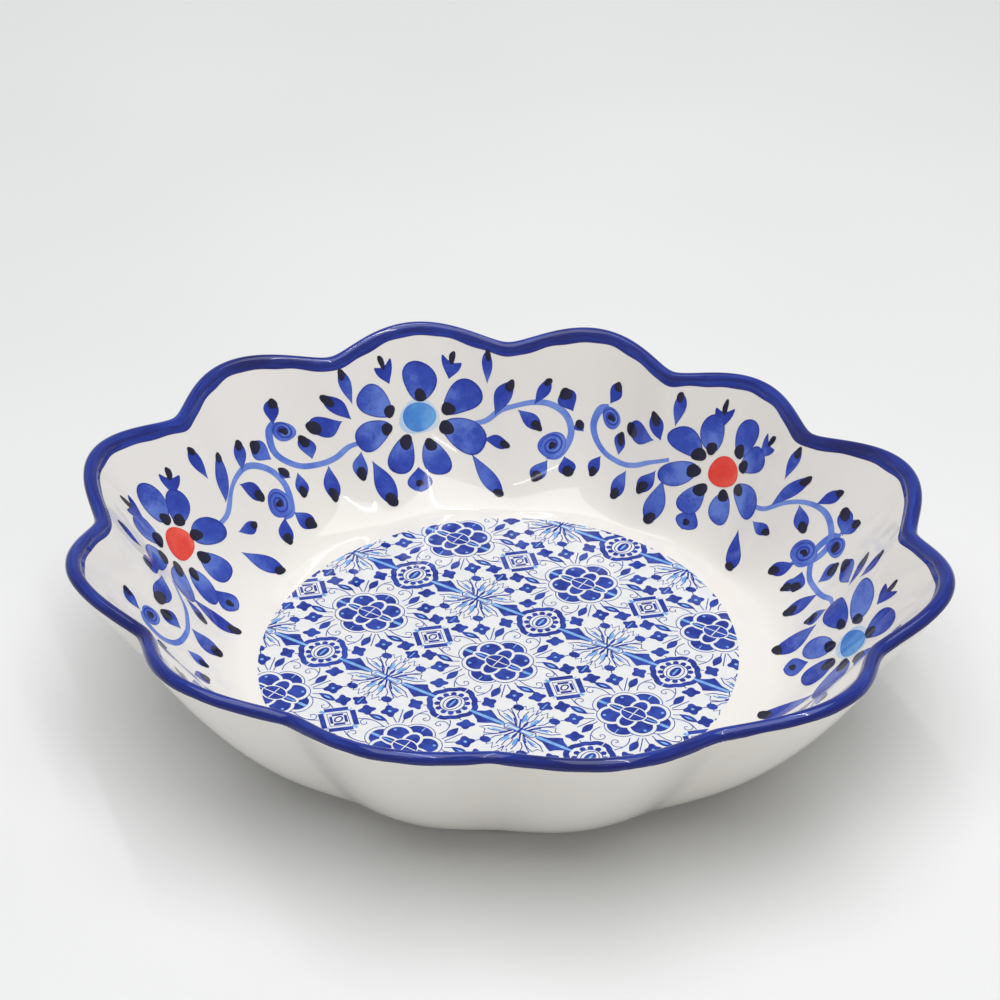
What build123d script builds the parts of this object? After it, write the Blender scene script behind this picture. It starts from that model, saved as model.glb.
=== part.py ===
from build123d import *
import os
from math import cos, exp, pi, radians, sin

# Oval, lobed porcelain serving bowl standing on a foot ring.
# Millimetres, +Z up. The origin is the centre of the footprint, on the surface
# the foot rests on, and +X runs along the long axis of the oval rim.

# ---- driving dimensions ----
rim_crest_radius = 130.0  # half length of the oval, over the crests of its lobes
rim_dip_radius = 119.9  # where its dips would reach if they came to a sharp crease
rim_aspect = 0.865  # width over length at the rim
floor_aspect = 0.925  # the floor is nearer to round
lobe_count = 12
lobe_roundness = 1.28  # above 1 the crests are full and the dips are pinched
dip_softness = 0.16  # rounds the crease at the bottom of a dip
lobe_turn = radians(4.5)  # how far the lobes are turned against the long axis
lobe_spread = radians(2.4)  # evens out the lobes' widths round the oval
crest_rise = 4.1  # how much higher a crest stands than a dip
flute_carry = 0.6  # how strongly the lobes carry on down the wall as flutes
slump_depth = 8.3  # one flank of the rim is drawn in, as hand work is
slump_angle = radians(56.7)
slump_width = radians(25.1)

floor_height = 9.5  # top of the inner floor above the table
underside_height = 4.5  # underside of the floor above the table
floor_radius = 79.0  # where the inner wall leaves the floor
underside_radius = 80.0  # where the outer wall meets the underside
lip_height = 54.2  # centre of the rolled lip, averaged over the lobes
lip_radius = 2.2
lip_station = 123.2  # radius of the lip's centre line
inner_heel = (90.0, 9.5)  # handles of the inner wall's profile curve
inner_shoulder = (108.0, 35.2)
outer_heel = (92.5, 7.0)  # handles of the outer wall's profile curve
outer_shoulder = (114.0, 34.2)

foot_outer_radius = 76.0
foot_inner_radius = 70.0
foot_edge = 1.4  # rounding of the foot's standing edges

print_radius = 71.2  # transfer print on the floor
print_thickness = 0.2
print_shift = (-2.0, -1.5)  # the print was laid a little off centre

band_thickness = 0.3  # cobalt glaze over the lip

points_per_lobe = 8
wall_stations = 10
lip_stations = 6

ring_points = lobe_count * points_per_lobe


def lobe(angle):
    """Height of the scalloped outline at an angle: near 0 in a dip, 1 on a crest."""
    wave = (cos(angle * lobe_count / 2) ** 2 + dip_softness**2) / (1 + dip_softness**2)
    return wave ** (lobe_roundness / 2)


def slump(angle):
    """Loss of radius on the flank that is drawn in."""
    turn = (angle - slump_angle + pi) % (2 * pi) - pi
    return slump_depth * exp(-((turn / slump_width) ** 2))


def rim_swell(angle):
    """Radius of the rim at an angle, over the radius of its lip station."""
    scallop = rim_dip_radius + (rim_crest_radius - rim_dip_radius) * lobe(angle)
    return scallop - slump(angle) - lip_station - lip_radius


def ring(radius, height, flare):
    """One closed contour of the bowl; flare is 0 at the floor and 1 at the lip."""
    aspect = floor_aspect + (rim_aspect - floor_aspect) * flare
    points = []
    for index in range(ring_points):
        angle = 2 * pi * index / ring_points
        turned = angle + lobe_turn + lobe_spread * sin(2 * angle)
        reach = radius + flare * rim_swell(angle)
        rise = flare**2 * crest_rise * (lobe(angle) - 0.5)
        points.append((reach * cos(turned), aspect * reach * sin(turned), height + rise))
    return Wire([Edge.make_spline([Vector(*point) for point in points], periodic=True)])


def bezier(start, first, second, end, share):
    """Point on a cubic profile curve, at a share from 0 to 1."""
    rest = 1 - share
    weights = (rest**3, 3 * rest**2 * share, 3 * rest * share**2, share**3)
    handles = (start, first, second, end)
    return [sum(w * h[axis] for w, h in zip(weights, handles)) for axis in (0, 1)]


def inner_profile(share):
    """Inner wall from the floor (0) to the lip (1)."""
    start = (floor_radius, floor_height)
    end = (lip_station - lip_radius, lip_height)
    return bezier(start, inner_heel, inner_shoulder, end, share)


def outer_profile(share):
    """Outer wall from the underside (0) to the lip (1)."""
    start = (underside_radius, underside_height)
    end = (lip_station + lip_radius, lip_height)
    return bezier(start, outer_heel, outer_shoulder, end, share)


def flare_of(radius, base_radius, lip_end):
    """How much of the rim's scallop a contour of this radius shows."""
    share = (radius - base_radius) / (lip_end - base_radius)
    return share * (1 + flute_carry * (1 - share))


def inner_ring(share):
    """Contour of the inner wall, from the floor (0) to the lip (1)."""
    radius, height = inner_profile(share)
    return ring(radius, height, flare_of(radius, floor_radius, lip_station - lip_radius))


def outer_ring(share):
    """Contour of the outer wall, from the underside (0) to the lip (1)."""
    radius, height = outer_profile(share)
    return ring(radius, height, flare_of(radius, underside_radius, lip_station + lip_radius))


def lip_rings(skin=0.0):
    """Contours over the rounded lip, from its inner side to its outer side."""
    rings = []
    for index in range(lip_stations + 1):
        turn = pi * (1 - index / lip_stations)
        reach = lip_radius + skin
        rings.append(ring(lip_station + reach * cos(turn), lip_height + reach * sin(turn), 1.0))
    return rings


def make_bowl_body():
    """Floor and lobed wall as one thrown shell, skinned from floor to underside."""
    inner = [inner_ring(index / wall_stations) for index in range(wall_stations)]
    outer = [outer_ring(index / wall_stations) for index in reversed(range(wall_stations))]
    return Solid.make_loft(inner + lip_rings() + outer, ruled=True)


def oval_disc(radius, height):
    """Elliptical disc with the floor's aspect, standing on the table."""
    return extrude(make_face(Ellipse(radius, radius * floor_aspect).edge()), height)


def make_foot_ring():
    """Low standing ring under the floor, its standing edges rounded."""
    foot = oval_disc(foot_outer_radius, underside_height) - oval_disc(foot_inner_radius, underside_height)
    standing_edges = foot.edges().group_by(Axis.Z)[0]
    return fillet(standing_edges, foot_edge)


def make_floor_print():
    """Transfer-printed disc fused to the middle of the inner floor."""
    place = Location((print_shift[0], print_shift[1], floor_height))
    return place * extrude(Circle(print_radius), print_thickness)


def make_rim_band():
    """Cobalt glaze drawn over the lip, a thin skin on the clay."""
    over = lip_rings(band_thickness)
    under = list(reversed(lip_rings()))
    return Solid.make_loft(over + under + over[:1], ruled=True)


parts = {
    "bowl_body": make_bowl_body(),
    "foot_ring": make_foot_ring(),
    "floor_print": make_floor_print(),
    "rim_band": make_rim_band(),
}

os.makedirs("parts", exist_ok=True)
for name, shape in parts.items():
    export_step(shape, f"parts/{name}.step")
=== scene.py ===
import random
from math import cos, pi, radians, sin

import bpy
import numpy as np
from mathutils import Matrix, Vector


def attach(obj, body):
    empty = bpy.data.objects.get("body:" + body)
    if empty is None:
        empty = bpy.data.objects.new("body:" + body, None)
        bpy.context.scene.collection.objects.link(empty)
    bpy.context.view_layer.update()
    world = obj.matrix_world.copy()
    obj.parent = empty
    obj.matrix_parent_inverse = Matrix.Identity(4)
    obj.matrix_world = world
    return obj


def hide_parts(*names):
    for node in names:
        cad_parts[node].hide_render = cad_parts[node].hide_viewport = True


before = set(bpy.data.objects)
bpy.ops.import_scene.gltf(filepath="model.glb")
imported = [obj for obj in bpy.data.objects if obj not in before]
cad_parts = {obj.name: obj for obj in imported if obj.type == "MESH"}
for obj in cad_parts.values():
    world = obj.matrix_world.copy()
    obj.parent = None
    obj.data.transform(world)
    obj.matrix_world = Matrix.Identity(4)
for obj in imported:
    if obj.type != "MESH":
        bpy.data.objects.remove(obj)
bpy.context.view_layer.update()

# Oval, lobed porcelain serving bowl: glazed body, foot, brushed rim band, painted
# garland and printed floor. Shapes are worked out in millimetres and built in metres.

MM = 0.001
dice = random.Random(12)

# ---------------------------------------------------------------- bowl's own sizes
rim_crest_radius = 130.0
rim_dip_radius = 119.9
rim_aspect = 0.865
floor_aspect = 0.925
lobe_count = 12
lobe_roundness = 1.28
dip_softness = 0.16
lobe_turn = radians(4.5)
lobe_spread = radians(2.4)
crest_rise = 4.1
flute_carry = 0.6
slump_depth = 8.3
slump_angle = radians(56.7)
slump_width = radians(25.1)

floor_height = 9.5
underside_height = 4.5
floor_radius = 79.0
underside_radius = 80.0
lip_height = 54.2
lip_radius = 2.2
lip_station = 123.2
inner_heel = (90.0, 9.5)
inner_shoulder = (108.0, 35.2)
outer_heel = (92.5, 7.0)
outer_shoulder = (114.0, 34.2)
foot_outer_radius = 76.0
foot_inner_radius = 70.0
foot_edge = 1.4  # rounding of the foot's standing edges

print_radius = 71.2
print_shift = (-2.0, -1.5)
tile_pitch = 46.9
tile_turn = radians(-12.1)
tile_origin = (-0.2, -6.2)

round_steps = 576  # points round the oval
wall_steps = 40
lip_steps = 16
floor_steps = 24
underside_steps = 14
foot_steps = 240  # points round the foot

band_steps = 1152  # points round the rim band
band_rows = 22
band_inner_reach = 1.6  # how far the band runs down the inner wall
band_outer_reach = 0.1
band_lift = 0.16
stroke_lift = 0.0012  # each stroke lies this much above the one before
ink_lift = 0.02  # lowest ink above the floor
level_lift = 0.0105  # one level of ink above the next
shape_lift = 0.001  # each shape of one ink lies this much above the one before


# ---------------------------------------------------------------- bowl's surface
def lobe(angle):
    wave = (np.cos(angle * lobe_count / 2) ** 2 + dip_softness**2) / (1 + dip_softness**2)
    return wave ** (lobe_roundness / 2)


def rim_swell(angle):
    turn = (angle - slump_angle + pi) % (2 * pi) - pi
    scallop = rim_dip_radius + (rim_crest_radius - rim_dip_radius) * lobe(angle)
    return scallop - slump_depth * np.exp(-((turn / slump_width) ** 2)) - lip_station - lip_radius


def contour(angle, radius, height, flare):
    """Points of the bowl at these angles, on a profile point of this radius and height."""
    aspect = floor_aspect + (rim_aspect - floor_aspect) * flare
    turned = angle + lobe_turn + lobe_spread * np.sin(2 * angle)
    reach = radius + flare * rim_swell(angle)
    rise = flare**2 * crest_rise * (lobe(angle) - 0.5)
    return np.stack([reach * np.cos(turned), aspect * reach * np.sin(turned), height + rise], axis=-1)


def bezier(start, first, second, end, share):
    rest = 1 - share
    weights = (rest**3, 3 * rest**2 * share, 3 * rest * share**2, share**3)
    handles = (start, first, second, end)
    return [sum(w * h[axis] for w, h in zip(weights, handles)) for axis in (0, 1)]


def flare_of(radius, base_radius, lip_end):
    share = (radius - base_radius) / (lip_end - base_radius)
    return share * (1 + flute_carry * (1 - share))


def inner_profile(share):
    start = (floor_radius, floor_height)
    radius, height = bezier(start, inner_heel, inner_shoulder, (lip_station - lip_radius, lip_height), share)
    return radius, height, flare_of(radius, floor_radius, lip_station - lip_radius)


def outer_profile(share):
    start = (underside_radius, underside_height)
    radius, height = bezier(start, outer_heel, outer_shoulder, (lip_station + lip_radius, lip_height), share)
    return radius, height, flare_of(radius, underside_radius, lip_station + lip_radius)


def lip_profile(turn, lift=0.0):
    reach = lip_radius + lift
    return lip_station - reach * np.cos(turn), lip_height + reach * np.sin(turn), 1.0 + 0 * turn


def run_length(profile):
    """Cumulative length along a wall's profile, against its share from 0 to 1."""
    shares = np.linspace(0, 1, 400)
    radius, height, _flare = profile(shares)
    steps = np.hypot(np.diff(radius), np.diff(height))
    return shares, np.concatenate([[0.0], np.cumsum(steps)])


inner_shares, inner_lengths = run_length(inner_profile)
outer_shares, outer_lengths = run_length(outer_profile)
inner_wall_length = inner_lengths[-1]
outer_wall_length = outer_lengths[-1]
lip_length = pi * lip_radius


def inner_wall(angle, climb):
    """Points on the inner wall, climb in millimetres up from the floor."""
    share = np.interp(climb, inner_lengths, inner_shares)
    return contour(angle, *inner_profile(share))


def rim_section(angle, travel):
    """Points across the rim: travel below 0 is on the inner wall, then over the lip and outside."""
    inside = inner_wall(angle, inner_wall_length + np.minimum(travel, 0.0))
    over = contour(angle, *lip_profile(np.clip(travel / lip_radius, 0, pi)))
    beyond = outer_wall_length - np.maximum(travel - lip_length, 0.0)
    outside = contour(angle, *outer_profile(np.interp(beyond, outer_lengths, outer_shares)))
    travel = np.broadcast_to(np.asarray(travel)[..., None], over.shape)
    return np.where(travel < 0, inside, np.where(travel > lip_length, outside, over))


def surface_with_normal(surface, angle, along):
    """Points and outward unit normals of a surface that is given by angle and distance."""
    here = surface(angle, along)
    step_angle = surface(angle + 1e-4, along) - surface(angle - 1e-4, along)
    step_along = surface(angle, along + 1e-2) - surface(angle, along - 1e-2)
    normal = np.cross(step_along, step_angle)
    return here, normal / np.linalg.norm(normal, axis=-1, keepdims=True)


# ---------------------------------------------------------------- mesh helpers
def build_piece(name, points, faces, material, normals=None, attributes=None, replaced=()):
    mesh = bpy.data.meshes.new(name)
    mesh.from_pydata((np.asarray(points) * MM).tolist(), [], [list(face) for face in faces])
    mesh.polygons.foreach_set("use_smooth", [True] * len(mesh.polygons))
    for key, values in (attributes or {}).items():
        layer = mesh.attributes.new(key, "FLOAT", "POINT")
        layer.data.foreach_set("value", np.asarray(values, dtype=np.float32))
    mesh.materials.append(material)
    if normals is not None:
        mesh.normals_split_custom_set_from_vertices(np.asarray(normals).tolist())
    mesh.update()
    piece = bpy.data.objects.new(name, mesh)
    bpy.context.scene.collection.objects.link(piece)
    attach(piece, "root")
    if replaced:
        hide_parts(*replaced)
    return piece


def facing(points, faces, normals):
    """The same faces, wound so that each looks the way its first point's normal does."""
    wound = []
    for face in faces:
        first, second, third = (points[index] for index in face[:3])
        ahead = np.cross(second - first, third - first) @ normals[face[0]]
        wound.append(tuple(face) if ahead >= 0 else tuple(reversed(face)))
    return wound


def lathe_faces(rings, steps, start=0):
    """Quads between neighbouring closed rings of points."""
    faces = []
    for ring in range(rings - 1):
        low = start + ring * steps
        for step in range(steps):
            following = (step + 1) % steps
            faces.append((low + step, low + following, low + steps + following, low + steps + step))
    return faces


# ---------------------------------------------------------------- materials
class Nodes:
    """A short way to wire a material's nodes."""

    def __init__(self, name):
        self.material = bpy.data.materials.new(name)
        self.material.use_nodes = True
        self.tree = self.material.node_tree
        self.shader = self.tree.nodes["Principled BSDF"]

    def add(self, kind, settings=None, **inputs):
        node = self.tree.nodes.new(kind)
        for key, value in (settings or {}).items():
            setattr(node, key, value)
        for key, value in inputs.items():
            self.put(node.inputs[key.replace("_", " ")], value)
        return node

    def put(self, socket, value):
        if isinstance(value, bpy.types.NodeSocket):
            self.tree.links.new(value, socket)
        else:
            socket.default_value = value

    def math(self, operation, first, second=0.0, third=0.0, clamp=False):
        node = self.tree.nodes.new("ShaderNodeMath")
        node.operation = operation
        node.use_clamp = clamp
        for socket, value in zip(node.inputs, (first, second, third)):
            self.put(socket, value)
        return node.outputs[0]

    def mix(self, share, first, second, blend="MIX"):
        node = self.tree.nodes.new("ShaderNodeMix")
        node.data_type = "RGBA"
        node.blend_type = blend
        self.put(node.inputs[0], share)
        self.put(node.inputs[6], first)
        self.put(node.inputs[7], second)
        return node.outputs[2]

    def smooth(self, value, low, high):
        node = self.tree.nodes.new("ShaderNodeMapRange")
        node.interpolation_type = "SMOOTHSTEP"
        self.put(node.inputs[0], value)
        node.inputs[1].default_value = low
        node.inputs[2].default_value = high
        return node.outputs[0]

    def position(self):
        return self.add("ShaderNodeTexCoord").outputs["Object"]

    def noise(self, scale, detail=3.0, vector=None, roughness=0.55):
        node = self.add("ShaderNodeTexNoise", Scale=scale, Detail=detail, Roughness=roughness)
        self.put(node.inputs["Vector"], vector if vector is not None else self.position())
        return node.outputs["Fac"]

    def attribute(self, name):
        return self.add("ShaderNodeAttribute", {"attribute_name": name}).outputs["Fac"]

    def glaze(self, color, roughness=0.07, ripple=0.02):
        """Finish as clear glaze over this colour."""
        self.put(self.shader.inputs["Base Color"], color)
        self.put(self.shader.inputs["IOR"], 1.5)
        wear = self.math("MULTIPLY_ADD", self.noise(60.0), 0.05, roughness - 0.025)
        self.put(self.shader.inputs["Roughness"], wear)
        waves = self.noise(28.0, 2.0)
        bump = self.add("ShaderNodeBump", Strength=ripple, Distance=0.002, Height=waves)
        self.put(self.shader.inputs["Normal"], bump.outputs[0])
        return self.material


def linear(red, green, blue):
    """Display colour from 0 to 255, as the shader's linear colour."""
    shares = [value / 255 for value in (red, green, blue)]
    return tuple(((s + 0.055) / 1.055) ** 2.4 if s > 0.04 else s / 12.92 for s in shares) + (1.0,)


white_glaze = linear(237, 234, 229)
cream_glaze = linear(233, 229, 221)
bare_clay = linear(214, 203, 186)


def make_white_glaze():
    nodes = Nodes("white_glaze")
    cloud = nodes.noise(9.0, 4.0)
    color = nodes.mix(nodes.smooth(cloud, 0.35, 0.7), white_glaze, cream_glaze)
    speck = nodes.smooth(nodes.noise(900.0, 1.0), 0.80, 0.86)
    color = nodes.mix(nodes.math("MULTIPLY", speck, 0.5), color, linear(150, 140, 128))
    return nodes.glaze(color, 0.05, 0.03)


def make_foot_material():
    """Glazed sides, and a bare ground standing edge."""
    nodes = Nodes("foot_clay")
    height = nodes.add("ShaderNodeSeparateXYZ", Vector=nodes.position()).outputs[2]
    ragged = nodes.math("MULTIPLY_ADD", nodes.noise(140.0), 0.0006, 0.0006)
    glazed = nodes.smooth(nodes.math("SUBTRACT", height, ragged), 0.0, 0.0003)
    grain = nodes.mix(nodes.noise(1500.0, 2.0), bare_clay, linear(190, 176, 156))
    nodes.put(nodes.shader.inputs["Base Color"], nodes.mix(glazed, grain, white_glaze))
    nodes.put(nodes.shader.inputs["Roughness"], nodes.math("MULTIPLY_ADD", glazed, -0.62, 0.7))
    bump = nodes.add("ShaderNodeBump", Strength=0.15, Distance=0.0003, Height=nodes.noise(1500.0, 2.0))
    nodes.put(nodes.shader.inputs["Normal"], bump.outputs[0])
    return nodes.material


def make_rim_material():
    """Brushed cobalt: streaks along the lip, painted shade in darker navy on the outer, lower side of the
    lip, violet at the inner edge.
    """
    nodes = Nodes("rim_cobalt")
    across = nodes.attribute("across")
    along = nodes.attribute("along")
    drawn_out = nodes.math("MULTIPLY", along, 0.05)
    squeezed = nodes.math("MULTIPLY", across, 5.0)
    flow = nodes.add("ShaderNodeCombineXYZ", X=drawn_out, Y=squeezed)
    streaks = nodes.noise(1.6, 5.0, flow.outputs[0], 0.65)
    load = nodes.add("ShaderNodeCombineXYZ", X=nodes.math("MULTIPLY", along, 0.02))
    brush_load = nodes.noise(1.0, 2.0, load.outputs[0])
    color = nodes.mix(nodes.smooth(streaks, 0.3, 0.75), linear(14, 30, 118), linear(38, 68, 172))
    loaded = nodes.math("MULTIPLY", nodes.smooth(brush_load, 0.48, 0.7), 0.85)
    color = nodes.mix(loaded, color, linear(16, 20, 86))
    # painted shade: the outer, lower side of the lip is darkened to navy where it turns away from the
    # overhead lights
    outer_shade = nodes.math("MULTIPLY", nodes.smooth(across, 0.6, 0.95), 0.8)
    color = nodes.mix(outer_shade, color, linear(10, 12, 92))
    worn = nodes.math("MULTIPLY", nodes.smooth(across, 0.12, 0.3), nodes.smooth(across, 0.62, 0.4))
    worn = nodes.math("MULTIPLY", worn, nodes.smooth(brush_load, 0.3, 0.55))
    color = nodes.mix(nodes.math("MULTIPLY", worn, 0.3), color, linear(44, 36, 84))
    inner_pool = nodes.math("MULTIPLY", nodes.smooth(across, 0.1, 0.0), 0.6)
    color = nodes.mix(inner_pool, color, linear(58, 42, 104))
    return nodes.glaze(color, 0.055, 0.05)


def make_paint(name, pale, mid, deep, outline=0.6):
    """Watery brush colour: thin where the stroke starts, deeper at its end, pooled at its outline."""
    nodes = Nodes(name)
    edge = nodes.attribute("edge")
    along = nodes.attribute("along")
    tone = nodes.attribute("tone")
    blot = nodes.noise(170.0, 3.0)
    grain = nodes.noise(1400.0, 2.0)
    wash = nodes.math("MULTIPLY_ADD", blot, 1.1, nodes.math("MULTIPLY_ADD", grain, 0.3, -0.7))
    wash = nodes.math("ADD", nodes.math("MULTIPLY_ADD", along, 0.5, wash), tone)
    color = nodes.mix(nodes.smooth(wash, -0.1, 0.45), pale, mid)
    color = nodes.mix(nodes.smooth(wash, 0.35, 0.95), color, deep)
    pooled = nodes.math("MULTIPLY", nodes.smooth(edge, 0.88, 0.99), outline)
    return nodes.glaze(nodes.mix(pooled, color, deep), 0.07, 0.03)


def make_flat_paint(name, color, other, scale=500.0):
    """Even paint with a slight change of strength."""
    nodes = Nodes(name)
    mixed = nodes.mix(nodes.smooth(nodes.noise(scale, 3.0), 0.35, 0.65), color, other)
    return nodes.glaze(mixed, 0.07, 0.03)


# ---------------------------------------------------------------- body, foot and rim
def make_body(material):
    profile = []
    for share in np.linspace(0.04, 0.96, floor_steps):
        profile.append((floor_radius * share, floor_height, 0.0))
    profile += [inner_profile(share) for share in np.linspace(0, 1, wall_steps)]
    profile += [lip_profile(turn) for turn in np.linspace(0, pi, lip_steps)[1:-1]]
    profile += [outer_profile(share) for share in np.linspace(1, 0, wall_steps)]
    for share in np.linspace(0.97, 0.05, underside_steps):
        profile.append((underside_radius * share, underside_height, 0.0))
    angles = np.arange(round_steps) * 2 * pi / round_steps
    rings = [contour(angles, *station) for station in profile]
    points = np.concatenate(rings + [[[0, 0, floor_height]], [[0, 0, underside_height]]])
    faces = lathe_faces(len(rings), round_steps)
    floor_centre = len(points) - 2
    last = (len(rings) - 1) * round_steps
    for step in range(round_steps):
        following = (step + 1) % round_steps
        faces.append((floor_centre, following, step))
        faces.append((floor_centre + 1, last + step, last + following))
    faces = [tuple(reversed(face)) for face in faces]
    return build_piece("bowl_glazed", points, faces, material, replaced=["bowl_body"])


def make_foot(material):
    """Standing ring with rounded edges and a small fillet of glaze where it meets the underside."""
    outer, inner, top, edge = foot_outer_radius, foot_inner_radius, underside_height, foot_edge
    profile = [(outer + 1.6, top), (outer + 0.5, top - 0.5), (outer + 0.1, top - 1.2), (outer, 1.6)]
    for turn in np.linspace(0.1, pi / 2, 7):
        profile.append((outer - edge + edge * cos(turn), edge - edge * sin(turn)))
    for turn in np.linspace(0, pi / 2, 7):
        profile.append((inner + edge - edge * sin(turn), edge - edge * cos(turn)))
    profile += [(inner - 0.1, top - 1.2), (inner - 0.5, top - 0.5), (inner - 1.6, top)]
    angles = np.arange(foot_steps) * 2 * pi / foot_steps
    rings = [contour(angles, radius, height, 0.0) for radius, height in profile]
    faces = [tuple(reversed(face)) for face in lathe_faces(len(rings), foot_steps)]
    points = np.concatenate(rings)
    return build_piece("foot_ring_glazed", points, faces, material, replaced=["foot_ring"])


def wander(angle, reach, phases):
    """Slow unevenness of a hand-drawn edge round the bowl."""
    return reach * sum(np.sin(waves * angle + phase) / len(phases) for waves, phase in phases)


def make_rim_band(material):
    """Skin of glaze over the lip, both its edges uneven."""
    inner_phases = [(waves, dice.uniform(0, 6)) for waves in (5, 11, 23, 41, 67)]
    outer_phases = [(waves, dice.uniform(0, 6)) for waves in (7, 13, 19, 37, 61)]
    angles = np.arange(band_steps) * 2 * pi / band_steps
    first = -band_inner_reach + wander(angles, 0.75, inner_phases)
    final = lip_length + band_outer_reach + wander(angles, 0.6, outer_phases)
    points, normals, across, along = [], [], [], []
    for row in range(band_rows):
        share = row / (band_rows - 1)
        travel = first + (final - first) * share
        here, normal = surface_with_normal(rim_section, angles, travel)
        lift = band_lift * min(1.0, 6 * min(share, 1 - share) + 0.15)
        points.append(here + normal * lift)
        normals.append(normal)
        across += [share] * band_steps
        along += list(angles * 110.0)
    faces = [tuple(reversed(face)) for face in lathe_faces(band_rows, band_steps)]
    attributes = {"across": across, "along": along}
    return build_piece("rim_band_painted", np.concatenate(points), faces, material,
                       np.concatenate(normals), attributes, ["rim_band"])


# ---------------------------------------------------------------- painted garland
garland_level = 30.0  # climb at which the layout's millimetres are true
layout_angles = np.linspace(0, 2 * pi, 2881)
layout_steps = np.diff(inner_wall(layout_angles, garland_level + 0 * layout_angles), axis=0)
layout_arcs = np.concatenate([[0.0], np.cumsum(np.linalg.norm(layout_steps, axis=1))])


class Pigment:
    """Brush strokes of one colour on the inner wall, gathered into one thin piece."""

    def __init__(self, lift):
        self.lift = lift
        self.strokes = 0
        self.lifts = []
        self.places = []
        self.faces = []
        self.values = {"edge": [], "along": [], "tone": []}

    def add(self, centre, local, faces, edge, along, tone):
        """local points are millimetres from the centre, which is (layout x, climb)."""
        radius = inner_profile(np.interp(centre[1], inner_lengths, inner_shares))[0]
        level = inner_profile(np.interp(garland_level, inner_lengths, inner_shares))[0]
        local = np.asarray(local)
        base = len(self.places)
        self.strokes += 1
        self.lifts += [self.lift + stroke_lift * (self.strokes % 12)] * len(local)
        across = centre[0] + local[:, 0] * level / radius
        climb = np.clip(centre[1] + local[:, 1], -3.0, inner_wall_length - 0.4)
        self.places += list(zip(across, climb))
        self.faces += [tuple(base + index for index in face) for face in faces]
        self.values["edge"] += list(edge)
        self.values["along"] += list(along)
        self.values["tone"] += [tone] * len(local)

    def blob(self, centre, outline, tone=0.0, heading=0.0):
        """A filled stroke with this outline, as rings about its middle; along grows in the heading."""
        shares = (0.28, 0.52, 0.72, 0.86, 0.94, 1.0)
        outline = np.asarray(outline)
        count = len(outline)
        middle = outline.mean(axis=0)
        local = [middle] + [middle + (point - middle) * share for share in shares for point in outline]
        faces = [(0, 1 + step, 1 + (step + 1) % count) for step in range(count)]
        faces += lathe_faces(len(shares), count, 1)
        edge = [0.0] + [share for share in shares for _ in range(count)]
        spread = np.array(local) @ np.array([cos(heading), sin(heading)])
        along = (spread - spread.min()) / np.ptp(spread)
        self.add(centre, local, faces, edge, along, tone)

    def ribbon(self, line, widths, tone=0.0):
        """A drawn line through layout points, as wide as widths says at each."""
        line = np.asarray(line, dtype=float)
        slope = np.gradient(line, axis=0)
        side = np.stack([-slope[:, 1], slope[:, 0]], axis=1)
        side /= np.linalg.norm(side, axis=1, keepdims=True)
        rows = (-1.0, -0.8, -0.4, 0.0, 0.4, 0.8, 1.0)
        local, edge, along = [], [], []
        for row in rows:
            local += list(line + side * (row * np.asarray(widths) / 2)[:, None])
            edge += [abs(row)] * len(line)
            along += list(np.linspace(0, 1, len(line)) * 0.6)
        count = len(line)
        faces = []
        for row in range(len(rows) - 1):
            for step in range(count - 1):
                low = row * count + step
                faces.append((low, low + 1, low + count + 1, low + count))
        centre = (0.0, garland_level)
        self.add(centre, np.array(local) - np.array(centre), faces, edge, along, tone)

    def finish(self, name, material, slot):
        places = np.array(self.places)
        arcs = places[:, 0] % layout_arcs[-1]
        angles = np.interp(arcs, layout_arcs, layout_angles)
        here, normal = surface_with_normal(inner_wall, angles, places[:, 1])
        faces = facing(here, self.faces, normal)
        lifted = here + normal * np.array(self.lifts)[:, None]
        return build_piece(name, lifted, faces, material, normal, self.values)


def turned(points, angle, move=(0.0, 0.0)):
    """Points turned by an angle and then moved."""
    points = np.asarray(points)
    c, s = cos(angle), sin(angle)
    x = points[:, 0] * c - points[:, 1] * s + move[0]
    y = points[:, 0] * s + points[:, 1] * c + move[1]
    return np.stack([x, y], 1)


def petal_outline(length, width, fullness=0.2, wobble=0.04):
    """Egg shape along +X, fuller at its outer end, with a hand's unevenness."""
    turn = np.linspace(0, 2 * pi, 33)[:-1]
    phases = [(2, dice.uniform(0, 6)), (3, dice.uniform(0, 6))]
    ripple = 1 + wobble * sum(np.sin(waves * turn + phase) for waves, phase in phases)
    x = length / 2 * np.cos(turn) * ripple
    y = width / 2 * np.sin(turn) * (1 + fullness * np.cos(turn)) * ripple
    return np.stack([x, y], axis=1)


def leaf_outline(length, width, bend=0.0):
    """Brush mark along +X: pointed where it starts, widest past its middle, narrow and round at its tip."""
    share = np.linspace(0, 1, 15)
    half = width / 2 * np.sin(pi * share**1.15) ** 1.1 + 0.32 * width * share**3 * np.sqrt(1 - share**4)
    x = length * (share - 0.5)
    middle = bend * np.sin(pi * share)
    upper = np.stack([x, middle + half], axis=1)
    lower = np.stack([x, middle - half], axis=1)
    return np.vstack([lower, upper[::-1][1:-1]])


def smooth_line(points, count=48):
    """A smooth curve through given points."""
    points = np.asarray(points, dtype=float)
    padded = np.vstack([2 * points[0] - points[1], points, 2 * points[-1] - points[-2]])
    line = []
    for step in range(count):
        place = step / (count - 1) * (len(points) - 1)
        span = min(int(place), len(points) - 2)
        t = place - span
        a, b, c, d = padded[span:span + 4]
        bends = (2 * a - 5 * b + 4 * c - d) * t**2 + (3 * b - a - 3 * c + d) * t**3
        line.append(0.5 * ((2 * b) + (c - a) * t + bends))
    return np.array(line)


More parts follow.
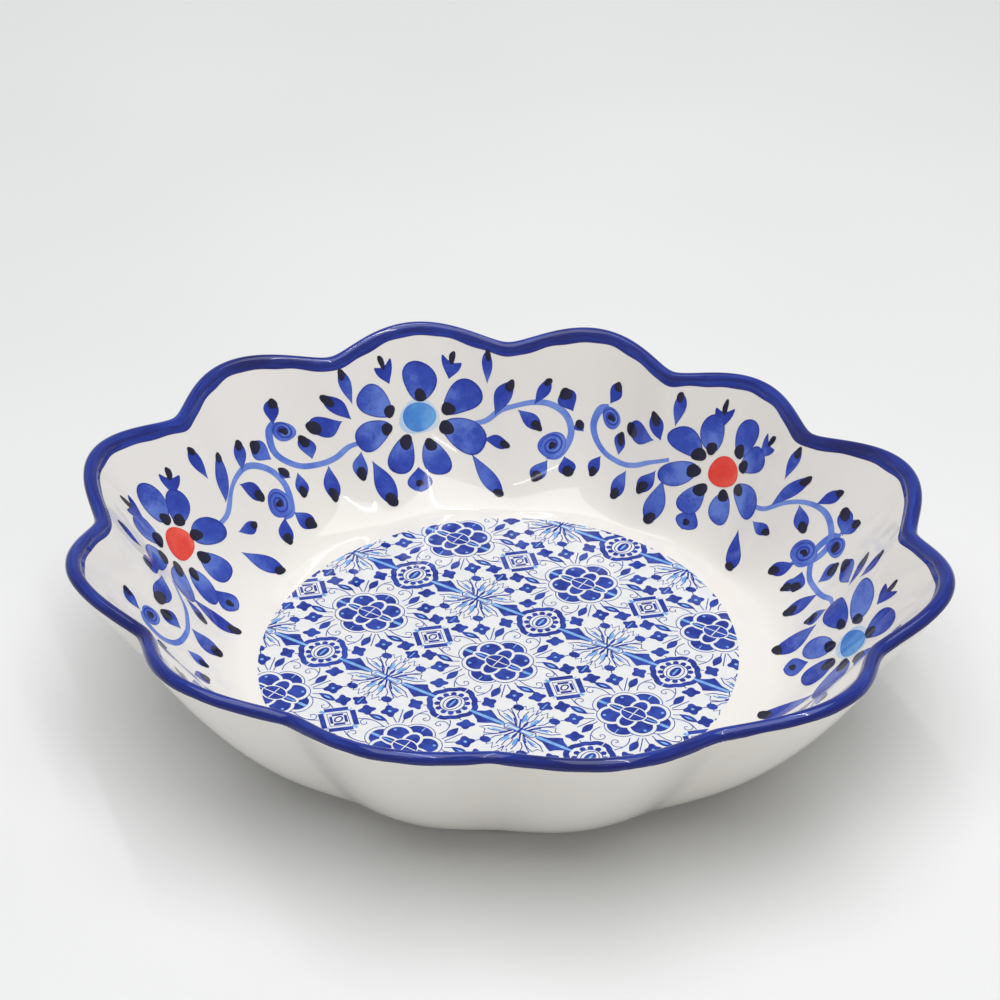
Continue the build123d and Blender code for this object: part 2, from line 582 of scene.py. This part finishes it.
# One repeat of the garland, in layout millimetres from the middle of its flower.
# petals: x and y of the middle, direction in degrees, length, width
round_petals = [
    (-2, 11, 96, 12.5, 11.0), (12.5, 10, 50, 16.0, 8.4), (-14, 6.5, 138, 16.5, 8.8),
    (-13.5, -6, 200, 15.0, 11.4), (16, 0.5, 4, 12.5, 10.2), (-2.5, -13.5, 264, 12.0, 9.0),
    (8.5, -10.8, 306, 12.0, 9.4),
]
slim_petals = [
    (-9, 9, 124, 12.5, 7.8), (-2.5, 13.5, 97, 13.5, 8.8), (8, 11.5, 72, 13.0, 7.8),
    (15.5, 7, 40, 15.0, 8.2), (15, -4.5, 345, 13.0, 9.8), (7.5, -12.3, 292, 12.0, 8.2),
    (-4.5, -11.8, 258, 12.0, 8.6), (-12.5, -2, 188, 13.0, 10.0),
]
# leaves: x and y of the middle, direction of the dark tip, length, width, dark share of the length
leaves = [
    (-24, 20.5, 92, 12.5, 3.6, 0.30), (-27, 11, 120, 16.0, 4.8, 0.24),
    (-39, 11.5, 126, 9.0, 4.6, 0.34), (-48, 7, 58, 9.0, 5.4, 0.50), (-35, 1.5, 236, 11.5, 4.4, 0.40),
    (-52, -2, 60, 4.2, 3.4, 0.90), (-25, -6.5, 185, 8.0, 4.6, 0.40), (-49, -16.5, 246, 7.5, 4.8, 0.52),
    (-39.5, -17, 302, 8.5, 5.2, 0.46), (-20, -19.5, 244, 16.5, 6.2, 0.24),
    (20.5, 20, 88, 12.5, 3.8, 0.36), (24.5, 12, 58, 10.0, 5.2, 0.46), (30, 6.5, 345, 12.0, 6.6, 0.40),
    (38.5, -1.5, 94, 8.5, 4.6, 0.55), (24.5, -8.5, 288, 10.5, 4.6, 0.55),
    (19, -17, 268, 18.0, 6.6, 0.26), (35.5, -14.5, 285, 12.5, 5.0, 0.38),
    (46.5, -13, 282, 8.0, 4.2, 0.50), (44, 12.5, 112, 9.0, 4.2, 0.40),
]
# buds: x and y of the middle, direction of the stick, size
stick_buds = [(-12.5, 17, 108, 8.0), (6.5, 18, 84, 8.0)]
drop_bud = (6.0, -20.0, 98, 8.5, 7.6)
# scrolls: a line from the flower, then the bud that ends it (x, y, radius)
right_scroll = [
    (19, 0.5), (25, -1.5), (30.5, -5), (36, -7.5), (42.5, -7.5), (47, -4.5), (49, 0.5), (47.5, 6),
    (44.5, 8),
]
right_bud = (43.2, 5.0, 3.5)
left_scroll = [
    (-15, -2), (-21.5, 1), (-27.5, 6.5), (-33.5, 8.2), (-40.5, 6.5), (-46.5, 2), (-49, -3),
    (-48.4, -8), (-45.5, -12.2), (-41.5, -12),
]
left_bud = (-43.2, -8.4, 4.6)
# flowers: angle in degrees, climb, whether the centre is red
flowers = [
    (5.0, 27.6, False), (59.5, 33.5, True), (122.0, 35.1, False), (179.5, 29.0, True),
    (239.0, 31.5, False), (301.0, 32.0, True),
]


def shaken(value, reach):
    return value + dice.uniform(-reach, reach)


def paint_flower(paints, centre, petals, red):
    for x, y, direction, length, width in petals:
        heading = radians(shaken(direction, 4))
        length = length * shaken(1.0, 0.05)
        width = width * shaken(1.0, 0.06)
        middle = (centre[0] + shaken(x, 0.5), centre[1] + shaken(y, 0.5))
        outline = turned(petal_outline(length, width), heading)
        paints["petals"].blob(middle, outline, shaken(0.0, 0.2), heading)
        inset = length / 2 - shaken(1.6, 0.3)
        spot = (middle[0] - inset * cos(heading), middle[1] - inset * sin(heading))
        size = shaken(4.2, 0.5)
        paints["dabs"].blob(spot, turned(petal_outline(size * 1.1, size, 0.0, 0.06), heading))
    if not red:
        paints["halo"].blob(centre, petal_outline(13.0, 11.8, 0.0, 0.05))
    heart = paints["red"] if red else paints["sky"]
    size = 5.7 if red else 5.3
    heart.blob(centre, petal_outline(2 * size, 1.84 * size, 0.0, 0.035), shaken(0.0, 0.1))


def paint_leaf(paints, place, direction, length, width, dark):
    heading = radians(direction)
    outline = turned(leaf_outline(length, width, shaken(0.0, 0.5)), heading)
    paints["leaves"].blob(place, outline, shaken(0.05, 0.2), heading)
    tip = length * (1 - dark) / 2 + 0.4
    spot = (place[0] + tip * cos(heading), place[1] + tip * sin(heading))
    size = width * (0.52 + 0.34 * dark)
    paints["dabs"].blob(spot, turned(petal_outline(length * dark, size, -0.12, 0.05), heading))


def paint_stick_bud(paints, place, direction, size):
    """Three-cornered bud with a dark stick."""
    heading = radians(direction)
    corners = [(-0.62, 0.0), (-0.1, 0.33), (0.32, 0.40), (0.16, 0.12), (0.44, 0.0), (0.16, -0.12)]
    corners += [(0.32, -0.38), (-0.1, -0.33)]
    outline = smooth_line([(size * x, size * y) for x, y in corners + corners[:1]], 33)[:-1]
    paints["leaves"].blob(place, turned(outline, heading), shaken(0.25, 0.1), heading)
    spot = (place[0] + 0.36 * size * cos(heading), place[1] + 0.36 * size * sin(heading))
    paints["dabs"].blob(spot, turned(petal_outline(0.62 * size, 0.24 * size, 0.0, 0.08), heading))


def paint_scroll(paints, origin, line, bud):
    curve = smooth_line([(origin[0] + x, origin[1] + shaken(y, 0.4)) for x, y in line], 72)
    share = np.linspace(0, 1, len(curve))
    widths = 1.5 + 1.0 * share
    paints["stems"].ribbon(curve, widths, shaken(0.0, 0.12))
    centre = (origin[0] + bud[0], origin[1] + bud[1])
    paints["buds"].blob(centre, petal_outline(2.1 * bud[2], 1.95 * bud[2], 0.0, 0.05), shaken(0.0, 0.1))
    coil = np.linspace(0, 3.4 * pi, 60)
    reach = bud[2] * (0.86 - 0.6 * coil / coil[-1])
    swirl = np.stack([centre[0] + reach * np.cos(coil), centre[1] + reach * np.sin(coil)], axis=1)
    paints["swirls"].ribbon(swirl, 0.55 + 0.3 * coil / coil[-1], 0.2)
    paints["dabs"].blob(centre, petal_outline(2.7, 2.3, 0.0, 0.12))


def paint_garland(materials):
    paints = {
        "halo": Pigment(0.02),
        "stems": Pigment(0.03),
        "leaves": Pigment(0.05),
        "petals": Pigment(0.07),
        "buds": Pigment(0.07),
        "swirls": Pigment(0.09),
        "sky": Pigment(0.09),
        "red": Pigment(0.09),
        "dabs": Pigment(0.12),
    }
    for degrees_round, climb, red in flowers:
        middle = (np.interp(radians(degrees_round), layout_angles, layout_arcs), climb)
        paint_scroll(paints, middle, right_scroll, right_bud)
        paint_scroll(paints, middle, left_scroll, left_bud)
        for x, y, direction, length, width, dark in leaves:
            place = (middle[0] + shaken(x, 0.9), middle[1] + shaken(y, 0.8))
            length = length * shaken(1.0, 0.08)
            heading = shaken(direction, 7)
            width = width * shaken(1.0, 0.1)
            paint_leaf(paints, place, heading, length, width, shaken(dark, 0.05))
        for x, y, direction, size in stick_buds:
            paint_stick_bud(paints, (middle[0] + shaken(x, 1.0), middle[1] + y), shaken(direction, 8), size)
        x, y, direction, length, width = drop_bud
        drop = (middle[0] + shaken(x, 1.0), middle[1] + y)
        heading = radians(shaken(direction, 6))
        outline = turned(leaf_outline(length, width)[::-1] * [-1, 1], heading)
        paints["leaves"].blob(drop, outline, 0.0, heading)
        paints["dabs"].blob((drop[0] + 0.3, drop[1] - 1.2), petal_outline(2.6, 2.4, 0.0, 0.1))
        paint_flower(paints, middle, slim_petals if red else round_petals, red)
    for key, paint in paints.items():
        paint.finish("garland_" + key, materials[key], "printed_enamel")


# ---------------------------------------------------------------- printed floor
edge_turns = np.linspace(0, 2 * pi, 181)[:-1]


def trim_to_circle(polygon):
    """The part of a polygon that lies inside the print's edge."""
    polygon = [np.asarray(point, dtype=float) - print_shift for point in polygon]
    reach = [float(np.hypot(*point)) for point in polygon]
    if min(reach) > print_radius * 1.12:
        return []
    if max(reach) > print_radius:
        heading = sum(polygon)
        facing_turn = np.arctan2(heading[1], heading[0])
        for turn in edge_turns:
            if cos(turn - facing_turn) < 0.5 or len(polygon) < 3:
                continue
            depth = [print_radius - float(point @ (cos(turn), sin(turn))) for point in polygon]
            kept = []
            for index, point in enumerate(polygon):
                previous = polygon[index - 1]
                if (depth[index] >= 0) != (depth[index - 1] >= 0):
                    share = depth[index - 1] / (depth[index - 1] - depth[index])
                    kept.append(previous + (point - previous) * share)
                if depth[index] >= 0:
                    kept.append(point)
            polygon = kept
    return [point + np.asarray(print_shift) for point in polygon]


class Ink:
    """Flat printed shapes of one colour, each laid at its level, cut off at the print's round edge."""

    def __init__(self):
        self.points = []
        self.faces = []
        self.shapes = 0

    def height(self, level):
        return floor_height + ink_lift + level_lift * level + shape_lift * (self.shapes % 8)

    def add(self, polygon, level):
        polygon = trim_to_circle(polygon)
        if len(polygon) < 3:
            return
        area = sum(a[0] * b[1] - a[1] * b[0] for a, b in zip(polygon, polygon[1:] + polygon[:1]))
        if area < 0:
            polygon = polygon[::-1]
        base = len(self.points)
        self.points += [(x, y, self.height(level)) for x, y in polygon]
        self.faces.append(tuple(range(base, base + len(polygon))))

    def fill(self, shape, level):
        self.shapes += 1
        self.add(shape, level)

    def line(self, points, width, closed, level):
        """A printed line through points, as short quads."""
        self.shapes += 1
        if closed:
            points = np.vstack([points, points[:1]])
        slope = np.gradient(points, axis=0)
        if closed:
            slope[0] = slope[-1] = points[1] - points[-2]
        side = np.stack([-slope[:, 1], slope[:, 0]], axis=1)
        side *= width / 2 / np.linalg.norm(side, axis=1, keepdims=True)
        left = points + side
        right = points - side
        for step in range(len(points) - 1):
            self.add([right[step], right[step + 1], left[step + 1], left[step]], level)

    def finish(self, name, material):
        normals = [(0, 0, 1)] * len(self.points)
        return build_piece(name, self.points, self.faces, material, normals,
                           replaced=["floor_print"])


def oval(length, width, at=(0.0, 0.0), count=24):
    turn = np.linspace(0, 2 * pi, count + 1)[:-1]
    return np.stack([at[0] + length / 2 * np.cos(turn), at[1] + width / 2 * np.sin(turn)], axis=1)


def bar(start, end, width):
    start, end = np.array(start, float), np.array(end, float)
    run = (end - start) / np.hypot(*(end - start))
    side = np.array([-run[1], run[0]]) * width / 2
    return [start - side, end - side, end + side, start + side]


def lens(length, width, at, heading):
    """Small pointed leaf."""
    share = np.linspace(0, 1, 8)
    side = width / 2 * np.sin(pi * share)
    x = length * (share - 0.5)
    outline = np.vstack([np.stack([x, -side], 1), np.stack([x, side], 1)[::-1][1:-1]])
    return turned(outline, heading, at)


def bud(length, width, at, heading=pi / 4):
    """Small four-cornered bud with hollow sides."""
    turn = np.linspace(0, 2 * pi, 29)[:-1]
    radius = 0.5 - 0.17 * (0.5 - 0.5 * np.cos(4 * turn))
    return turned(np.stack([length * radius * np.cos(turn), width * radius * np.sin(turn)], 1), heading, at)


class Tile:
    """Draws in the axes of the tile at these lattice steps; mirror says which axes to repeat it across."""

    def __init__(self, inks, right, up):
        self.inks = inks
        self.turn = np.array([[cos(tile_turn), -sin(tile_turn)], [sin(tile_turn), cos(tile_turn)]])
        self.origin = self.turn @ (np.array([right, up]) * tile_pitch) + np.array(tile_origin)

    def copies(self, shape, centre, mirror):
        for across in (1, -1) if "x" in mirror else (1,):
            for up in (1, -1) if "y" in mirror else (1,):
                yield (np.asarray(shape, dtype=float) * (across, up) + centre) @ self.turn.T + self.origin

    def fill(self, ink, level, shape, centre, mirror=""):
        for copy in self.copies(shape, centre, mirror):
            self.inks[ink].fill(copy, level)

    def line(self, level, points, centre, mirror="", width=0.3, closed=False, ink="line"):
        for copy in self.copies(points, centre, mirror):
            self.inks[ink].line(copy, width, closed, level)

    def rimmed(self, level, at, length, width, rim, centre, mirror=""):
        """A dark oval with a pale rim and a thin line round that."""
        self.fill("line", level, oval(length + 2 * rim + 0.55, width + 2 * rim + 0.55, at), centre, mirror)
        self.fill("paper", level + 1, oval(length + 2 * rim, width + 2 * rim, at), centre, mirror)
        self.fill("cobalt", level + 2, oval(length, width, at), centre, mirror)


def rosette(tile, centre):
    """Round flower: eight rimmed petals, four loops and a quartered eye."""
    tile.rimmed(0, (8.9, 0.0), 5.8, 6.8, 1.0, centre, "x")
    tile.fill("wash", 3, bar((9.0, 0), (11.7, 0), 1.0), centre, "x")
    tile.rimmed(0, (0.0, 7.2), 8.2, 6.2, 0.6, centre, "y")
    tile.fill("wash", 3, bar((0, 8.2), (0, 10.2), 0.35), centre, "y")
    tile.rimmed(4, (5.0, 3.7), 6.6, 6.2, 1.0, centre, "xy")
    tile.fill("wash", 7, oval(1.0, 0.9, (6.8, 4.8), 10), centre, "xy")
    tile.fill("paper", 7, oval(5.9, 7.2, (0.0, 3.5)), centre, "y")
    tile.fill("cobalt", 8, oval(4.1, 5.4, (0.0, 3.5)), centre, "y")
    tile.fill("paper", 8, oval(7.6, 3.4, (5.0, 0.0)), centre, "x")
    tile.fill("cobalt", 9, oval(6.0, 2.0, (5.0, 0.0)), centre, "x")
    tile.fill("wash", 10, bar((4.4, 0), (7.6, 0), 0.45), centre, "x")
    tile.fill("paper", 11, oval(8.4, 6.4), centre)
    tile.fill("cobalt", 12, oval(7.6, 5.6), centre)
    tile.fill("paper", 13, bar((-3.6, 0), (3.6, 0), 0.32), centre)
    tile.fill("paper", 13, bar((0, -2.6), (0, 2.6), 0.32), centre)


def medallion(tile, centre):
    """Scalloped frame about a ring of beads and a seed."""
    turn = np.linspace(0, 2 * pi, 73)[:-1]
    squared = (np.abs(np.cos(turn)) ** 1.5 + np.abs(np.sin(turn)) ** 1.5) ** (-1 / 1.5)
    bulge = squared * (1 - 0.022 * np.cos(12 * turn))
    frame_line = np.stack([7.2 * bulge * np.cos(turn), 7.3 * bulge * np.sin(turn)], axis=1)
    tile.line(2, frame_line, centre, "", 1.75, True, "cobalt")
    tile.fill("wash", 4, bar((6.1, 0), (8.4, 0), 0.8), centre, "x")
    tile.fill("paper", 4, bar((0, 6.3), (0, 8.4), 0.26), centre, "y")
    for bead in range(12):
        heading = radians(30 * bead)
        tile.fill("cobalt", 2, oval(1.75, 1.75, (4.35 * cos(heading), 4.5 * sin(heading)), 12), centre)
    tile.line(4, oval(7.3, 7.6), centre, "", 0.35, True)
    tile.fill("paper", 3, oval(7.3, 7.6), centre)
    tile.line(4, oval(4.9, 6.3), centre, "", 0.3, True)
    tile.fill("cobalt", 4, oval(3.0, 4.9), centre)
    tile.fill("wash", 5, oval(0.7, 3.6, (0.0, 0.0), 12), centre)


def diamond(tile, centre):
    """Small diamond of four bars about a smaller one, with a bud above and below."""
    tile.fill("cobalt", 2, bar((0.75, 5.6), (5.9, 0.8), 1.6), centre, "xy")
    tile.fill("wash", 3, bar((5.0, 0), (6.8, 0), 1.0), centre, "x")
    tile.fill("wash", 3, bar((0, 4.6), (0, 6.2), 0.35), centre, "y")
    tile.line(3, [(4.3, 0), (0, 3.9), (-4.3, 0), (0, -3.9)], centre, "", 0.3, True)
    tile.fill("cobalt", 3, bar((0.35, 2.6), (2.7, 0.35), 0.85), centre, "xy")
    tile.line(3, oval(1.9, 2.6), centre, "", 0.5, True, "cobalt")
    tile.fill("cobalt", 2, bud(5.2, 4.6, (0, 10.4), 0.0), centre, "y")
    tile.fill("wash", 3, bar((0, 9.2), (0, 12.0), 0.35), centre, "y")
    tile.fill("cobalt", 2, bud(5.4, 4.8, (4.3, 7.9)), centre, "xy")


def star(tile, centre):
    """Leafy flower opening up and down from a pod, between two striped fans."""
    fan = [(5.8, 0.4), (15.7, 0.4), (15.7, 0.9), (13.4, 2.3), (12.3, 3.5), (10.6, 2.6)]
    fan += [(8.5, 1.3), (5.8, 0.8)]
    tile.fill("cobalt", 2, fan[:4] + fan[5:], centre, "xy")
    tile.fill("cobalt", 3, [fan[3], fan[4], fan[5]], centre, "xy")
    tile.fill("wash", 3, bar((5.4, 0), (16.0, 0), 1.05), centre, "x")
    pod = [(5.4, 0), (4.6, 1.2), (1.6, 0.9), (-1.6, 0.9), (-4.6, 1.2), (-5.4, 0)]
    pod += [(-4.6, -1.2), (-1.6, -0.9), (1.6, -0.9), (4.6, -1.2)]
    tile.line(4, pod, centre, "", 0.4, True)
    tile.fill("wash", 3, bar((-4.4, 0), (4.4, 0), 1.3), centre)
    tile.fill("paper", 4, bar((-3.6, 0), (3.6, 0), 0.5), centre)
    tile.fill("cobalt", 5, lens(4.4, 0.9, (0.0, 0.0), pi / 2), centre)
    side_petal = [(1.8, 1.3), (6.2, 2.1), (8.8, 2.9), (10.9, 4.7), (8.9, 4.6), (8.2, 6.3)]
    side_petal += [(5.8, 5.3), (3.2, 3.2)]
    tile.line(2, side_petal, centre, "xy", 0.36, True)
    tile.fill("wash", 1, [(3.2, 2.2), (7.6, 3.2), (6.6, 4.2)], centre, "xy")
    tile.line(3, [(4.6, 3.0), (7.0, 4.1), (8.4, 4.0)], centre, "xy", 0.3)
    crown = [(7.6, 6.9), (6.9, 8.9), (5.5, 8.3), (4.7, 10.2), (3.5, 8.7), (2.5, 10.8)]
    crown += [(1.4, 8.9), (0.6, 10.6), (0.0, 8.2)]
    tile.line(2, crown, centre, "xy", 0.4)
    tile.line(2, [(7.6, 6.9), (5.6, 5.4), (3.6, 3.6)], centre, "xy", 0.34)
    tile.line(2, [(5.2, 7.9), (4.6, 5.8), (3.2, 4.4)], centre, "xy", 0.34)
    tile.line(2, [(2.5, 8.6), (2.6, 6.0), (1.8, 3.6)], centre, "xy", 0.34)
    tile.line(2, [(0.7, 8.6), (0.9, 6.2), (0.5, 4.2)], centre, "xy", 0.3)
    tile.fill("cobalt", 3, bar((0.8, 1.0), (2.6, 4.4), 0.55), centre, "xy")
    tile.fill("cobalt", 3, bar((2.0, 1.2), (4.6, 3.9), 0.5), centre, "xy")
    tile.fill("cobalt", 3, lens(3.8, 1.0, (0.0, 2.9), pi / 2), centre, "y")
    tile.fill("wash", 1, lens(4.2, 1.5, (1.7, 5.0), radians(78)), centre, "xy")


def sprigs(tile, centre):
    """Leaves, buds and tendrils on thin stems, between the rosette and its neighbours."""
    tile.fill("cobalt", 2, bud(5.8, 5.4, (13.2, 10.9)), centre, "xy")
    tile.fill("wash", 3, oval(1.1, 1.0, (13.2, 10.9), 10), centre, "xy")
    tile.fill("cobalt", 2, oval(3.5, 2.7, (17.3, 14.9), 12), centre, "xy")
    tile.fill("cobalt", 2, lens(5.4, 2.6, (7.7, 12.4), radians(84)), centre, "xy")
    tile.fill("cobalt", 2, lens(6.6, 2.4, (14.4, 6.7), radians(-3)), centre, "xy")
    tile.fill("wash", 3, lens(3.0, 0.7, (14.4, 6.7), radians(-3)), centre, "xy")
    tile.fill("cobalt", 2, bud(5.6, 4.6, (8.8, 17.5), radians(30)), centre, "xy")
    tile.line(2, smooth_line([(4.9, 9.9), (5.7, 12.3), (5.2, 14.8), (3.9, 16.8)], 14), centre, "xy")
    spiral = [(5.3, 14.4), (3.4, 15.3), (1.6, 14.6), (1.3, 13.2), (2.2, 12.6), (3.0, 13.2), (2.4, 13.8)]
    tile.line(2, smooth_line(spiral, 30), centre, "xy", 0.26)
    tile.line(2, smooth_line([(10.4, 4.2), (13.2, 4.9), (16.2, 4.7), (18.9, 3.4)], 14), centre, "xy")
    spiral = [(15.8, 4.7), (17.4, 3.9), (17.5, 2.5), (16.3, 1.8), (15.4, 2.6), (16.0, 3.3)]
    tile.line(2, smooth_line(spiral, 30), centre, "xy", 0.26)
    stems = [[(8.4, 7.6), (11.9, 10.0)], [(6.9, 8.4), (7.5, 10.4)], [(9.7, 5.7), (11.6, 6.7)]]
    stems += [[(14.6, 12.2), (16.4, 14.2)], [(8.0, 8.0), (10.4, 13.6)], [(6.7, 18.4), (5.4, 18.9)]]
    for stem in stems:
        tile.line(1, stem, centre, "xy", 0.32)


def print_floor(materials):
    inks = {name: Ink() for name in ("cobalt", "line", "wash", "paper")}
    ground = [np.array([cos(turn), sin(turn)]) * (print_radius - 0.1) + print_shift for turn in edge_turns]
    inks["paper"].fill(ground, -1)
    half = tile_pitch / 2
    for right in range(-2, 3):
        for up in range(-2, 3):
            tile = Tile(inks, right, up)
            rosette(tile, (0.0, 0.0))
            medallion(tile, (0.0, half))
            diamond(tile, (half, 0.0))
            star(tile, (half, half))
            sprigs(tile, (0.0, 0.0))
    for name, ink in inks.items():
        ink.finish("print_" + name, materials[name])


# ---------------------------------------------------------------- build the object
body_material = make_white_glaze()
make_body(body_material)
make_foot(make_foot_material())
make_rim_band(make_rim_material())

garland_materials = {
    "halo": make_paint(
        "halo_paint", linear(206, 220, 230), linear(186, 208, 230), linear(160, 190, 224), 0.0),
    "stems": make_paint("stem_paint", linear(118, 146, 218), linear(82, 114, 204), linear(58, 86, 184)),
    "leaves": make_paint(
        "leaf_paint", linear(80, 108, 198), linear(38, 62, 168), linear(20, 34, 136), 0.75),
    "petals": make_paint(
        "petal_paint", linear(98, 126, 208), linear(48, 74, 176), linear(22, 36, 138), 0.75),
    "buds": make_paint("bud_paint", linear(106, 134, 214), linear(72, 100, 198), linear(46, 68, 172)),
    "swirls": make_paint("swirl_paint", linear(60, 84, 182), linear(44, 64, 164), linear(30, 44, 140)),
    "sky": make_paint("sky_paint", linear(112, 172, 226), linear(70, 134, 208), linear(44, 96, 186), 0.35),
    "red": make_paint("red_paint", linear(242, 100, 84), linear(230, 66, 54), linear(206, 46, 40), 0.35),
    "dabs": make_paint("dab_paint", linear(34, 34, 60), linear(20, 20, 48), linear(10, 10, 38)),
}
paint_garland(garland_materials)

print_materials = {
    "cobalt": make_flat_paint("print_cobalt", linear(22, 44, 138), linear(42, 70, 168), 260.0),
    "line": make_flat_paint("print_line", linear(36, 60, 150), linear(62, 86, 170), 300.0),
    "wash": make_flat_paint("print_wash", linear(136, 186, 234), linear(108, 160, 222), 300.0),
    "paper": make_flat_paint("print_paper", linear(232, 232, 230), linear(226, 228, 230), 300.0),
}
print_floor(print_materials)


# ---------------------------------------------------------------- floor, lights, camera
def make_stage():
    mesh = bpy.data.meshes.new("table")
    reach = 4.0
    corners = [(-reach, -reach, 0), (reach, -reach, 0), (reach, reach, 0), (-reach, reach, 0)]
    mesh.from_pydata(corners, [], [(0, 1, 2, 3)])
    table = bpy.data.objects.new("table", mesh)
    nodes = Nodes("table_paper")
    cloud = nodes.smooth(nodes.noise(3.0, 2.0), 0.3, 0.7)
    tint = nodes.mix(cloud, linear(234, 235, 235), linear(229, 230, 230))
    nodes.put(nodes.shader.inputs["Base Color"], tint)
    nodes.put(nodes.shader.inputs["Roughness"], 0.55)
    mesh.materials.append(nodes.material)
    bpy.context.scene.collection.objects.link(table)


def make_light(name, place, aim, size, power, height=None, turn=0.0):
    light = bpy.data.lights.new(name, "AREA")
    light.energy = power
    light.size = size
    if height:
        light.shape = "RECTANGLE"
        light.size_y = height
    lamp = bpy.data.objects.new(name, light)
    lamp.location = place
    lamp.rotation_euler = (Vector(aim) - Vector(place)).to_track_quat("-Z", "Y").to_euler()
    lamp.rotation_euler.rotate_axis("Z", turn)
    bpy.context.scene.collection.objects.link(lamp)
    return lamp


view_azimuth = radians(22.82)
view_elevation = radians(33.85)
view_distance = 0.7363
view_pitch = radians(33.285)
view_roll = radians(1.80)
view_yaw = radians(-0.04)
focal_share = 2.563  # focal length over the picture's width
sensor = 36.0


def make_camera():
    """Camera on a level tripod, turned about the bowl and rolled a little."""
    spin = Matrix.Rotation(view_azimuth, 3, "Z")
    stand = Vector((0, -view_distance * cos(view_elevation), view_distance * sin(view_elevation)))
    forward = Vector((sin(view_yaw) * cos(view_pitch), cos(view_yaw) * cos(view_pitch), -sin(view_pitch)))
    right = Vector((cos(view_yaw), -sin(view_yaw), 0))
    down = forward.cross(right)
    rolled = right * cos(view_roll) + down * sin(view_roll)
    up = right * sin(view_roll) - down * cos(view_roll)
    camera = bpy.data.cameras.new("view")
    camera.sensor_width = sensor
    camera.lens = focal_share * sensor
    camera.clip_start = 0.01
    eye = bpy.data.objects.new("view", camera)
    turn = Matrix((spin @ rolled, spin @ up, spin @ -forward)).transposed().to_4x4()
    turn.translation = spin @ stand + Vector((0, 0, lip_height * MM))
    eye.matrix_world = turn
    bpy.context.scene.collection.objects.link(eye)
    bpy.context.scene.camera = eye


def make_world():
    world = bpy.data.worlds.new("studio")
    world.use_nodes = True
    background = world.node_tree.nodes["Background"]
    background.inputs["Color"].default_value = (1.0, 1.0, 1.0, 1.0)
    background.inputs["Strength"].default_value = 0.42
    bpy.context.scene.world = world


make_stage()
make_world()
make_light("overhead_softbox", (0.05, -0.15, 1.5), (0, 0, 0), 1.5, 16.0, 1.5)
make_light("strip_light", (0.31, -0.01, 1.35), (0.31, -0.02, 0), 1.7, 3.4, 0.02, turn=radians(134))
make_light("front_strip", (0.45, -1.05, 1.05), (0, 0, 0.05), 0.5, 0.3, 0.008)
make_camera()
bpy.context.scene.view_settings.view_transform = "Standard"
